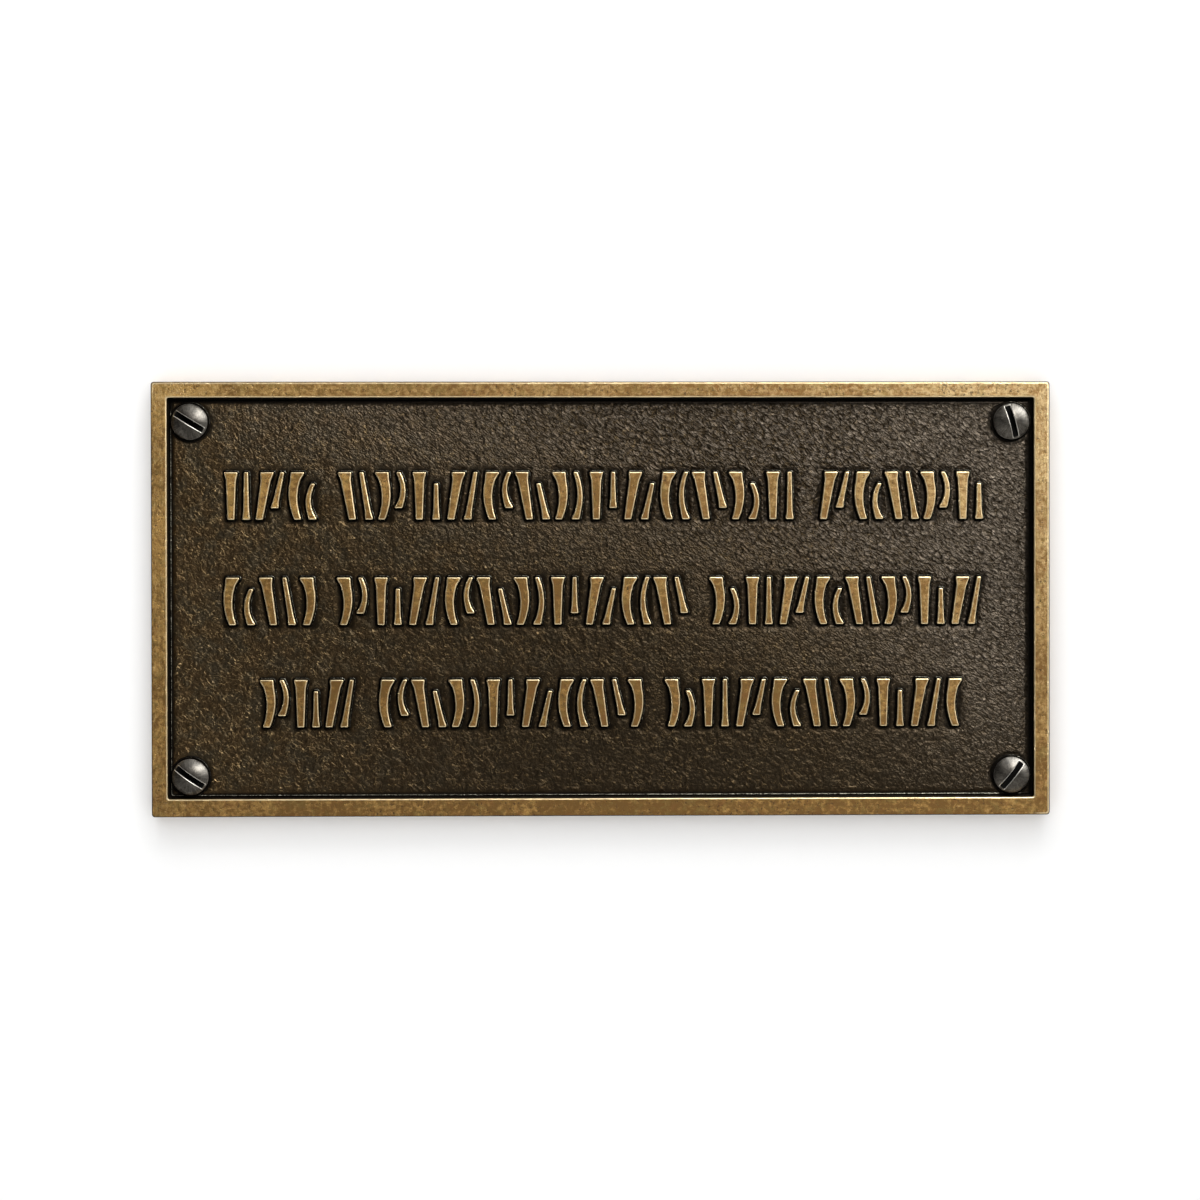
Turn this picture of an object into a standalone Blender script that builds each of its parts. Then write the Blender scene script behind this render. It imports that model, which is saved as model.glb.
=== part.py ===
"""A cast bronze wall plaque with a raised rim, three rows of raised strokes and four slotted screws.

The plaque hangs upright: X runs along its width, Z up its height, and its face looks towards -Y.
The origin is the centre of its flat back, where it lies against the wall. All lengths are in metres.
"""

import math

import bmesh
import bpy

# Plate
PLATE_WIDTH = 0.300
PLATE_HEIGHT = 0.145
GROUND_THICKNESS = 0.0055  # from the back to the sunk ground
PLATE_CORNER_RADIUS = 0.0010
PLATE_EDGE_CHAMFER = 0.0003

# Rim, which stands round the ground
RIM_RISE = 0.0025
RIM_WIDTH = 0.0055
RIM_WIDTH_BOTTOM = 0.0062
POCKET_CORNER_RADIUS = 0.0008
POCKET_DRAFT = 0.0003  # how far the inner wall leans outwards over its height
CORNER_STEPS = 3

# Screws
SHANK_DIAMETER = 0.0060
HEAD_DIAMETER = 0.0120
HEAD_EDGE_HEIGHT = 0.0008
DOME_RISE = 0.0026
SLOT_WIDTH = 0.0016
SLOT_DEPTH = 0.0022
SCREW_SIDES = 32
DOME_STEPS = 4

# Screw places, measured from the plate's edges to the screw's axis
SCREW_INSET_SIDE = 0.0127
SCREW_INSET_END = 0.0133

# Holes and the low seats round them
HOLE_CLEARANCE = 0.0003  # round the shank
UNDERHEAD_GAP = 0.0003
SEAT_LAND = 0.0007  # how far the seat shows past the head
SEAT_RISE = 0.00045
SEAT_SINK = 0.0010  # how deep the seat is rooted in the ground

# Inscription rows, with their margins measured from the rim's inner edges
ROW_HEIGHT = 0.0162
ROW_RELIEF = 0.0016
ROW_SINK = 0.0008  # how deep the strokes are rooted in the ground
ROW_MARGIN_TOP = 0.0244
ROW_MARGIN_BOTTOM = 0.0234
MIDDLE_ROW_DROP = 0.0005
GROUP_GAP = 0.0070

# Left margin, right margin, and the middle of each gap between groups, from the plate's centre
TOP_ROW = (0.0183, 0.0151, (-0.0906, 0.0694))
MIDDLE_ROW = (0.0180, 0.0164, (-0.0916, 0.0328))
BOTTOM_ROW = (0.0307, 0.0241, (-0.0783, 0.0178))

# Strokes of the rows: a broad one and a fine one in turn
STROKE_PITCH = 0.0059
PAIR_CLOSING = 0.0003  # how far the fine stroke moves towards its broad neighbour
BROAD_WIDTH = 0.0027
FINE_WIDTH = 0.0015
STROKE_TAPER = 0.22  # share of the width gained at the heavy end and lost at the light end
STROKE_FLARE = 1.3  # the heavy end spreads by this factor
FLARE_LENGTH = 0.0022
STROKE_LEAN = 0.0026
STROKE_BOW = 0.0016
STROKE_CHAMFER = 0.0003
FINE_SHORTENING = 0.0038

BRONZE = ("aged_bronze", (0.30, 0.20, 0.095), 0.45, 1.0)
BLACKENED_STEEL = ("blackened_steel", (0.055, 0.057, 0.060), 0.35, 1.0)

WELD_DISTANCE = 0.000001
OVERSHOOT = 0.001  # how far a cutter reaches past the face it cuts through

# Turns a shape drawn in its own XY plane to stand upright, with its own +Z towards the viewer
FACING_FRONT = math.radians(90)


def clear_scene():
    for scene_object in list(bpy.data.objects):
        bpy.data.objects.remove(scene_object, do_unlink=True)


def new_collection(name):
    collection = bpy.data.collections.new(name)
    bpy.context.scene.collection.children.link(collection)
    return collection


def new_material(name, colour, roughness, metallic):
    material = bpy.data.materials.new(name)
    material.use_nodes = True
    shader = material.node_tree.nodes["Principled BSDF"]
    shader.inputs["Base Color"].default_value = (*colour, 1.0)
    shader.inputs["Roughness"].default_value = roughness
    shader.inputs["Metallic"].default_value = metallic
    return material


def new_object(name, data, collection):
    made = bpy.data.objects.new(name, data)
    collection.objects.link(made)
    return made


def make_cutter(shape):
    """Keep a Boolean's operand out of the finished object."""
    shape.hide_render = True
    shape.display_type = "WIRE"
    return shape


def mesh_from(source, name):
    """The evaluated mesh of a curve or of an object with modifiers, welded and facing outwards."""
    depsgraph = bpy.context.evaluated_depsgraph_get()
    mesh = bpy.data.meshes.new_from_object(source.evaluated_get(depsgraph))
    mesh.name = name
    shape = bmesh.new()
    shape.from_mesh(mesh)
    bmesh.ops.remove_doubles(shape, verts=shape.verts, dist=WELD_DISTANCE)
    bmesh.ops.recalc_face_normals(shape, faces=shape.faces)
    shape.to_mesh(mesh)
    shape.free()
    return mesh


def flat_solid(name, outlines, thickness, chamfer, middle_depth, collection):
    """Extrude closed outlines, given as (x, z) points of their front faces, about a plane at middle_depth."""
    curve = bpy.data.curves.new(name, "CURVE")
    curve.dimensions = "2D"
    curve.fill_mode = "BOTH"
    curve.extrude = thickness / 2 - chamfer
    curve.bevel_depth = chamfer
    curve.bevel_resolution = 0
    for outline in outlines:
        spline = curve.splines.new("POLY")
        spline.points.add(len(outline) - 1)
        for point, (x, z) in zip(spline.points, outline):
            point.co = (x, z, 0.0, 1.0)
        spline.use_cyclic_u = True
    drawn = new_object(name + "_outline", curve, collection)
    drawn.location = (0.0, -middle_depth, 0.0)
    drawn.rotation_euler = (FACING_FRONT, 0.0, 0.0)
    bpy.context.view_layer.update()
    solid = new_object(name, mesh_from(drawn, name), collection)
    solid.data.shade_flat()
    solid.matrix_world = drawn.matrix_world
    bpy.data.objects.remove(drawn, do_unlink=True)
    return solid


def rounded_rectangle(left, right, bottom, top, radius):
    """Corner arcs joined by straight sides, anticlockwise from the lower right corner."""
    centres = (
        (right - radius, bottom + radius, -90.0),
        (right - radius, top - radius, 0.0),
        (left + radius, top - radius, 90.0),
        (left + radius, bottom + radius, 180.0),
    )
    points = []
    for x, z, start in centres:
        for step in range(CORNER_STEPS + 1):
            angle = math.radians(start + 90.0 * step / CORNER_STEPS)
            points.append((x + radius * math.cos(angle), z + radius * math.sin(angle)))
    return points


def pocket_bounds():
    """Left, right, bottom and top of the sunk ground at its floor."""
    half_width = PLATE_WIDTH / 2 - RIM_WIDTH
    bottom = -PLATE_HEIGHT / 2 + RIM_WIDTH_BOTTOM
    top = PLATE_HEIGHT / 2 - RIM_WIDTH
    return -half_width, half_width, bottom, top


def make_blank(collection):
    """The whole plate, as thick as its rim, before the ground is sunk into it."""
    half_width = PLATE_WIDTH / 2 - PLATE_EDGE_CHAMFER
    half_height = PLATE_HEIGHT / 2 - PLATE_EDGE_CHAMFER
    radius = PLATE_CORNER_RADIUS
    outline = rounded_rectangle(-half_width, half_width, -half_height, half_height, radius)
    thickness = GROUND_THICKNESS + RIM_RISE
    return flat_solid("plaque", [outline], thickness, PLATE_EDGE_CHAMFER, thickness / 2, collection)


def make_pocket(collection):
    """The space in front of the ground, wider at the rim's face than at the floor."""
    outline = rounded_rectangle(*pocket_bounds(), POCKET_CORNER_RADIUS)
    thickness = RIM_RISE + OVERSHOOT
    middle_depth = GROUND_THICKNESS + thickness / 2
    pocket = flat_solid("pocket", [outline], thickness, 0.0, middle_depth, collection)
    draft_at_front = POCKET_DRAFT * thickness / RIM_RISE
    middle_height = (RIM_WIDTH_BOTTOM - RIM_WIDTH) / 2
    for vertex in pocket.data.vertices:
        if vertex.co.z > 0.0:
            vertex.co.x += math.copysign(draft_at_front, vertex.co.x)
            vertex.co.y += math.copysign(draft_at_front, vertex.co.y - middle_height)
    return make_cutter(pocket)


def make_cylinder(name, radius, back_depth, front_depth, place, collection):
    """A round solid on an axis through place, between two depths in front of the wall."""
    mesh = bpy.data.meshes.new(name)
    shape = bmesh.new()
    bmesh.ops.create_cone(
        shape,
        cap_ends=True,
        segments=SCREW_SIDES,
        radius1=radius,
        radius2=radius,
        depth=front_depth - back_depth,
    )
    shape.to_mesh(mesh)
    shape.free()
    cylinder = new_object(name, mesh, collection)
    cylinder.location = (place[0], -(front_depth + back_depth) / 2, place[1])
    cylinder.rotation_euler = (FACING_FRONT, 0.0, 0.0)
    return make_cutter(cylinder)


def screw_places():
    """Each screw's name, its axis in the plane of the plate, and the slope of its slot in degrees."""
    x = PLATE_WIDTH / 2 - SCREW_INSET_SIDE
    z = PLATE_HEIGHT / 2 - SCREW_INSET_END
    return (
        ("screw_top_left", (-x, z), -31.5),
        ("screw_top_right", (x, z), 106.0),
        ("screw_bottom_left", (-x, -z), -35.0),
        ("screw_bottom_right", (x, -z), 51.7),
    )


def half_width_at(station, height, width, taper):
    """Half the stroke's width: it grows steadily to the heavy end and spreads in the flare there."""
    from_middle = 2.0 * station - 1.0
    half_width = width / 2 * (1.0 + taper * from_middle)
    heavy_end = 1.0 if taper > 0.0 else 0.0
    if abs(station - heavy_end) * height < FLARE_LENGTH / 2:
        half_width *= STROKE_FLARE
    return half_width


def stroke_outline(x, foot, top, width, taper, lean, bow):
    """One tapered stroke from foot to top: its middle line leans as a straight line or bows as a parabola."""
    height = top - foot
    flare = FLARE_LENGTH / height
    stations = [0.0, flare, 1.0 - flare, 1.0]
    if bow:
        stations[2:2] = [0.38, 0.62]
    left_side = []
    right_side = []
    for station in stations:
        z = foot + height * station
        from_middle = 2.0 * station - 1.0
        middle = x + lean / 2 * from_middle + bow * (0.5 - from_middle**2)
        half_width = half_width_at(station, height, width, taper)
        left_side.append((middle - half_width, z))
        right_side.append((middle + half_width, z))
    return right_side + left_side[::-1]


def stroke_kinds():
    """Lean and bow of the five kinds, in an order that never closes two neighbours into one figure."""
    return (
        (0.0, 0.0),
        (STROKE_LEAN, 0.0),
        (0.0, -STROKE_BOW),
        (-STROKE_LEAN, 0.0),
        (0.0, STROKE_BOW),
    )


def group_outlines(left, right, foot, first_pair):
    """Strokes that fill one group from side to side, in pairs of one kind."""
    reach = (BROAD_WIDTH + STROKE_LEAN) / 2
    span = right - left - 2 * reach
    if span <= 0.0:
        return []
    count = round(span / STROKE_PITCH) + 1
    pitch = span / max(count - 1, 1)
    kinds = stroke_kinds()
    outlines = []
    for index in range(count):
        pair = first_pair + index // 2
        lean, bow = kinds[pair % len(kinds)]
        x = left + reach + pitch * index
        foot_lift = 0.0
        top_drop = 0.0
        if index % 2 == 0:
            width = BROAD_WIDTH
            taper = STROKE_TAPER
        else:
            x -= PAIR_CLOSING
            width = FINE_WIDTH
            taper = -STROKE_TAPER
            foot_lift = FINE_SHORTENING if pair % 3 == 1 else 0.0
            top_drop = FINE_SHORTENING if pair % 3 == 2 else 0.0
        bottom = foot + STROKE_CHAMFER + foot_lift
        top = foot + ROW_HEIGHT - STROKE_CHAMFER - top_drop
        outlines.append(stroke_outline(x, bottom, top, width, taper, lean, bow))
    return outlines


def row_outlines(row, foot, first_pair):
    """The strokes of one row, broken into groups at its gaps."""
    margin_left, margin_right, gaps = row
    pocket_left, pocket_right, _, _ = pocket_bounds()
    starts = [pocket_left + margin_left] + [gap + GROUP_GAP / 2 for gap in gaps]
    ends = [gap - GROUP_GAP / 2 for gap in gaps] + [pocket_right - margin_right]
    outlines = []
    for left, right in zip(starts, ends):
        outlines += group_outlines(left, right, foot, first_pair + len(outlines) // 2)
    return outlines


def make_strokes(collection):
    """The raised strokes of all three rows, rooted in the ground."""
    _, _, pocket_bottom, pocket_top = pocket_bounds()
    top_foot = pocket_top - ROW_MARGIN_TOP - ROW_HEIGHT
    bottom_foot = pocket_bottom + ROW_MARGIN_BOTTOM
    middle_foot = (top_foot + bottom_foot) / 2 - MIDDLE_ROW_DROP
    outlines = row_outlines(TOP_ROW, top_foot, 0)
    outlines += row_outlines(MIDDLE_ROW, middle_foot, 2)
    outlines += row_outlines(BOTTOM_ROW, bottom_foot, 4)
    thickness = ROW_RELIEF + ROW_SINK
    middle_depth = GROUND_THICKNESS - ROW_SINK + thickness / 2
    strokes = flat_solid("strokes", outlines, thickness, STROKE_CHAMFER, middle_depth, collection)
    return make_cutter(strokes)


def add_boolean(target, operation, operand):
    modifier = target.modifiers.new(operand.name, "BOOLEAN")
    modifier.operation = operation
    modifier.solver = "EXACT"
    modifier.object = operand


def make_plaque(collection, cutters):
    """One casting: the rim round the sunk ground, a seat round each hole, and the raised strokes."""
    seat_radius = HEAD_DIAMETER / 2 + SEAT_LAND
    seat_back = GROUND_THICKNESS - SEAT_SINK
    seat_front = GROUND_THICKNESS + SEAT_RISE
    hole_radius = SHANK_DIAMETER / 2 + HOLE_CLEARANCE
    hole_front = seat_front + OVERSHOOT
    seats = []
    holes = []
    for name, place, _ in screw_places():
        seats.append(make_cylinder(name + "_seat", seat_radius, seat_back, seat_front, place, cutters))
        holes.append(make_cylinder(name + "_hole", hole_radius, -OVERSHOOT, hole_front, place, cutters))
    pocket = make_pocket(cutters)
    strokes = make_strokes(cutters)
    plaque = make_blank(collection)
    add_boolean(plaque, "DIFFERENCE", pocket)
    for seat in seats:
        add_boolean(plaque, "UNION", seat)
    for hole in holes:
        add_boolean(plaque, "DIFFERENCE", hole)
    add_boolean(plaque, "UNION", strokes)
    plaque.data.materials.append(new_material(*BRONZE))
    return plaque


def screw_profile():
    """Half section from the dome's crown down to the shank's cut end; zero height is under the head."""
    head_radius = HEAD_DIAMETER / 2
    dome_radius = (head_radius**2 + DOME_RISE**2) / (2 * DOME_RISE)
    crown = HEAD_EDGE_HEIGHT + DOME_RISE
    half_angle = math.asin(head_radius / dome_radius)
    if DOME_RISE > head_radius:
        half_angle = math.pi - half_angle
    points = []
    for step in range(DOME_STEPS + 1):
        angle = half_angle * step / DOME_STEPS
        height = crown - dome_radius * (1.0 - math.cos(angle))
        points.append((dome_radius * math.sin(angle), height))
    shank_end = -(GROUND_THICKNESS + SEAT_RISE + UNDERHEAD_GAP)
    points.append((head_radius, 0.0))
    points.append((SHANK_DIAMETER / 2, 0.0))
    points.append((SHANK_DIAMETER / 2, shank_end))
    points.append((0.0, shank_end))
    return points


def make_slot_cutter(collection):
    """A bar across the head, whose floor comes out of the dome just inside the head's edge."""
    crown = HEAD_EDGE_HEIGHT + DOME_RISE
    mesh = bpy.data.meshes.new("slot")
    shape = bmesh.new()
    bmesh.ops.create_cube(shape, size=1.0)
    size = (HEAD_DIAMETER + 2 * OVERSHOOT, SLOT_WIDTH, SLOT_DEPTH + OVERSHOOT)
    bmesh.ops.scale(shape, vec=size, verts=shape.verts)
    middle_height = crown - SLOT_DEPTH + size[2] / 2
    bmesh.ops.translate(shape, vec=(0.0, 0.0, middle_height), verts=shape.verts)
    shape.to_mesh(mesh)
    shape.free()
    return make_cutter(new_object("slot", mesh, collection))


def make_screw_mesh(cutters):
    """A turned round head on a shank that is cut off flat at the wall, with a slot across the head."""
    points = screw_profile()
    profile = bpy.data.meshes.new("screw_profile")
    edges = [(index, index + 1) for index in range(len(points) - 1)]
    profile.from_pydata([(x, 0.0, z) for x, z in points], edges, [])
    turned = new_object("screw_profile", profile, cutters)
    screw = turned.modifiers.new("turn", "SCREW")
    screw.axis = "Z"
    screw.angle = math.radians(360)
    screw.screw_offset = 0.0
    screw.steps = SCREW_SIDES
    screw.render_steps = SCREW_SIDES
    screw.use_merge_vertices = True
    screw.merge_threshold = WELD_DISTANCE
    add_boolean(turned, "DIFFERENCE", make_slot_cutter(cutters))
    bpy.context.view_layer.update()
    mesh = mesh_from(turned, "slotted_screw")
    bpy.data.objects.remove(turned, do_unlink=True)
    mesh.shade_smooth()
    mesh.set_sharp_from_angle(angle=math.radians(35))
    mesh.materials.clear()
    mesh.materials.append(new_material(*BLACKENED_STEEL))
    return mesh


def place_screws(mesh, collection):
    """One screw on each seat, with its slot at its own slope."""
    underside = GROUND_THICKNESS + SEAT_RISE + UNDERHEAD_GAP
    screws = []
    for name, place, slope in screw_places():
        screw = new_object(name, mesh, collection)
        screw.location = (place[0], -underside, place[1])
        screw.rotation_euler = (FACING_FRONT, math.radians(-slope), 0.0)
        screws.append(screw)
    return screws


def main():
    clear_scene()
    collection = new_collection("commemorative_plaque")
    cutters = new_collection("cutters")
    origin = new_object("wall_side_centre", None, collection)
    screw_mesh = make_screw_mesh(cutters)
    screws = place_screws(screw_mesh, collection)
    plaque = make_plaque(collection, cutters)
    for piece in [plaque, *screws]:
        piece.parent = origin


main()
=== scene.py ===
import bmesh
import bpy
import numpy as np
from mathutils import Matrix, Vector


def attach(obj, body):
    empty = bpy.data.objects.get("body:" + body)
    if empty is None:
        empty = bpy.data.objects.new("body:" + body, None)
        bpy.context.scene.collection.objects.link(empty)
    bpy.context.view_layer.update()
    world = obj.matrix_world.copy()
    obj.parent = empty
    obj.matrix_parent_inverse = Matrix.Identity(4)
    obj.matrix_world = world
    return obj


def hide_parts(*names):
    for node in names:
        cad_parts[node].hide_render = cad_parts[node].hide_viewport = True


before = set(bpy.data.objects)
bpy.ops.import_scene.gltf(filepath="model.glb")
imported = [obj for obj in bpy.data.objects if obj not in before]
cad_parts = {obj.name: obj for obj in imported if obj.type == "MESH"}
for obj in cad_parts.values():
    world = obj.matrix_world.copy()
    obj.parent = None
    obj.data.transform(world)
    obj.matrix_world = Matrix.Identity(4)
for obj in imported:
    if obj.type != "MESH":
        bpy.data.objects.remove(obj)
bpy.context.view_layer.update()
print("frame loaded")

# Shapes are worked out in millimetres: x to the right, z up and rise out of the wall to the viewer.
mm = 0.001


def toWorld(x, rise, z):
    # the wall plane is y = 0 and the face looks towards -y
    return np.stack(np.broadcast_arrays(x, -np.asarray(rise), z), axis=-1) * mm


def gridQuads(rows, columns, start=0, closed=False):
    # quads of a grid of points laid row by row; closed joins the last column to the first
    index = start + np.arange(rows * columns).reshape(rows, columns)
    if closed:
        index = np.concatenate([index, index[:, :1]], axis=1)
    corners = [index[:-1, :-1], index[:-1, 1:], index[1:, 1:], index[1:, :-1]]
    return np.stack(corners, axis=-1).reshape(-1, 4)


def copiesOf(quads, count, size):
    # the same quads for each of count like pieces of size points
    return (quads[None] + (np.arange(count) * size)[:, None, None]).reshape(-1, 4)


def smoothStep(value, low, high):
    # 0 up to low, 1 from high on, and 3t^2 - 2t^3 between
    t = np.clip((value - low) / (high - low), 0.0, 1.0)
    return t * t * (3.0 - 2.0 * t)


def meshPiece(name, points, quads, marks, material, nodes, smoothAngle=40.0, normals=None):
    # one welded mesh with its named point values, facing outwards as its quads are wound
    mesh = bpy.data.meshes.new(name)
    mesh.from_pydata(points, [], quads.tolist())
    for mark, values in marks.items():
        layer = mesh.attributes.new(mark, "FLOAT", "POINT")
        layer.data.foreach_set("value", np.ascontiguousarray(values, dtype=np.float32).ravel())
    if normals is None:
        welded = bmesh.new()
        welded.from_mesh(mesh)
        bmesh.ops.remove_doubles(welded, verts=welded.verts, dist=0.002 * mm)
        bmesh.ops.dissolve_degenerate(welded, edges=welded.edges, dist=0.0005 * mm)
        welded.to_mesh(mesh)
        welded.free()
        mesh.shade_smooth()
        mesh.set_sharp_from_angle(angle=np.radians(smoothAngle))
    else:
        mesh.shade_smooth()
        mesh.normals_split_custom_set_from_vertices(normals)
    mesh.materials.append(material)
    piece = bpy.data.objects.new(name, mesh)
    bpy.context.scene.collection.objects.link(piece)
    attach(piece, "root")
    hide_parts(*nodes)
    print(name, len(mesh.polygons), "faces")


def hills(x, z, size, seed):
    # smooth random hills between 0 and 1: a random slope at each corner of a grid, "size" apart,
    # and smooth steps between the corners
    angle = np.random.default_rng(seed).random((256, 256)) * 2 * np.pi
    u, v = x / size + 1000.0, z / size + 1000.0
    i, j = np.floor(u).astype(int), np.floor(v).astype(int)
    f, g = u - i, v - j

    def cornerSlope(right, up):
        turn = angle[(i + right) % 256, (j + up) % 256]
        return np.cos(turn) * (f - right) + np.sin(turn) * (g - up)

    s, t = smoothStep(f, 0.0, 1.0), smoothStep(g, 0.0, 1.0)
    low = cornerSlope(0, 0) * (1 - s) + cornerSlope(1, 0) * s
    high = cornerSlope(0, 1) * (1 - s) + cornerSlope(1, 1) * s
    return 0.5 + 0.75 * (low * (1 - t) + high * t)


def ridges(x, z, size, seed, sharpness):
    # 1 along winding lines where the hills cross their middle height, falling to 0 between them
    return smoothStep(1 - np.abs(2 * hills(x, z, size, seed) - 1) * sharpness, 0.0, 1.0)


# Node sockets as Python values

class Wire:
    # a socket that takes + - * / and gives back the Math node's result
    def __init__(self, tree, socket=None):
        self.tree = tree
        self.socket = socket

    def node(self, kind, settings=None, inputs=None, output=0):
        # any node: its type, its settings, what goes into its sockets, and which output to hand on
        made = self.tree.nodes.new(kind)
        for name, value in (settings or {}).items():
            setattr(made, name, value)
        for name, value in (inputs or {}).items():
            if isinstance(value, Wire):
                self.tree.links.new(value.socket, made.inputs[name])
            else:
                made.inputs[name].default_value = value
        return Wire(self.tree, made.outputs[output])

    def show(self, surface):
        # the finished surface goes to the material's output
        output = self.tree.nodes.new("ShaderNodeOutputMaterial")
        self.tree.links.new(surface.socket, output.inputs["Surface"])

    def math(self, operation, *values, clamp=False):
        settings = {"operation": operation, "use_clamp": clamp}
        return self.node("ShaderNodeMath", settings, dict(enumerate(values)))

    def __add__(self, other):
        return self.math("ADD", self, other)

    def __radd__(self, other):
        return self.math("ADD", other, self)

    def __sub__(self, other):
        return self.math("SUBTRACT", self, other)

    def __rsub__(self, other):
        return self.math("SUBTRACT", other, self)

    def __mul__(self, other):
        return self.math("MULTIPLY", self, other)

    def __rmul__(self, other):
        return self.math("MULTIPLY", other, self)

    def __truediv__(self, other):
        return self.math("DIVIDE", self, other)

    def vector(self, operation, inputs):
        return self.node("ShaderNodeVectorMath", {"operation": operation}, inputs)

    def clamped(self):
        return self.math("ADD", self, 0.0, clamp=True)

    def size(self):
        return self.math("ABSOLUTE", self)

    def larger(self, other):
        return self.math("MAXIMUM", self, other)

    def between(self, low, high):
        # 0 below low, 1 above high, smooth between
        return self.node("ShaderNodeMapRange", {"interpolation_type": "SMOOTHSTEP"},
                         {"Value": self, "From Min": low, "From Max": high})

    def mix(self, first, second):
        # this value's share of the second colour over the first
        inputs = {0: self, 6: first, 7: second}
        return self.node("ShaderNodeMix", {"data_type": "RGBA"}, inputs, output=2)


def rgb(red, green, blue):
    # a colour as seen on screen, 0 to 255, turned into the linear colour that shaders take
    screen = np.array([red, green, blue]) / 255.0
    linear = np.where(screen <= 0.04045, screen / 12.92, ((screen + 0.055) / 1.055) ** 2.4)
    return (*[float(value) for value in linear], 1.0)


def startMaterial(name):
    material = bpy.data.materials.new(name)
    material.use_nodes = True
    tree = material.node_tree
    tree.nodes.clear()
    wire = Wire(tree)
    place = wire.node("ShaderNodeTexCoord", output="Object")
    inMillimetres = wire.vector("SCALE", {0: place, "Scale": 1 / mm})
    return material, wire, inMillimetres


def endMaterial(wire, look, colour, roughness, relief, **more):
    # a bump from the relief, and the shader
    bump = {"Strength": look["bumpStrength"], "Distance": look["bumpDepth"] * mm, "Height": relief}
    inputs = {"Base Color": colour, "Metallic": look["metallic"], "Roughness": roughness,
              "Normal": wire.node("ShaderNodeBump", {}, bump), **more}
    wire.show(wire.node("ShaderNodeBsdfPrincipled", {}, inputs))


def noiseAt(wire, place, scale, detail=3.0, roughness=0.5, distortion=0.0):
    inputs = {"Vector": place, "Scale": scale, "Detail": detail, "Roughness": roughness,
              "Distortion": distortion}
    return wire.node("ShaderNodeTexNoise", {"noise_dimensions": "3D"}, inputs)


def stretched(wire, place, degrees, scale):
    # the place turned about the y axis and squeezed, so that a noise on it draws out one way
    turned = wire.node("ShaderNodeVectorRotate", {"rotation_type": "Y_AXIS"},
                       {"Vector": place, "Angle": float(np.radians(degrees))})
    return wire.vector("MULTIPLY", {0: turned, 1: scale})


def markOf(wire, name):
    settings = {"attribute_type": "GEOMETRY", "attribute_name": name}
    return wire.node("ShaderNodeAttribute", settings, output="Fac")


def acrossPlate(wire, place):
    # -1 to 1 from the plate's left to its right, and from its bottom to its top
    x = wire.node("ShaderNodeSeparateXYZ", {}, {"Vector": place}, output="X")
    z = wire.node("ShaderNodeSeparateXYZ", {}, {"Vector": place}, output="Z")
    return x / (plate["width"] / 2), z / (plate["height"] / 2)


# Bronze: rubbed golden on raised faces, brighter on worn edges, dark patina low down, with a
# painted sheen towards the upper right, painted highlights and painted glints

bronzeLook = {
    "rubbed": rgb(186, 147, 82),
    "rubbedDull": rgb(118, 86, 40),
    "paintedSheenColour": rgb(168, 150, 114),
    "rubbedPale": rgb(226, 198, 142),
    "olive": rgb(132, 112, 60),
    "russet": rgb(130, 86, 44),
    "wornEdge": rgb(244, 222, 176),
    "patina": rgb(15, 12, 8),
    "paintedGlintColour": rgb(190, 186, 168),
    "pit": rgb(62, 44, 24),
    "metallic": 0.96, "roughness": 0.50, "edgeRoughness": 0.36, "coat": 0.45, "coatRoughness": 0.42,
    "bumpStrength": 0.9, "bumpDepth": 0.2,
    "rubbedShare": 0.42, "uprightFrom": 143.8, "uprightTo": 144.6,
}


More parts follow.
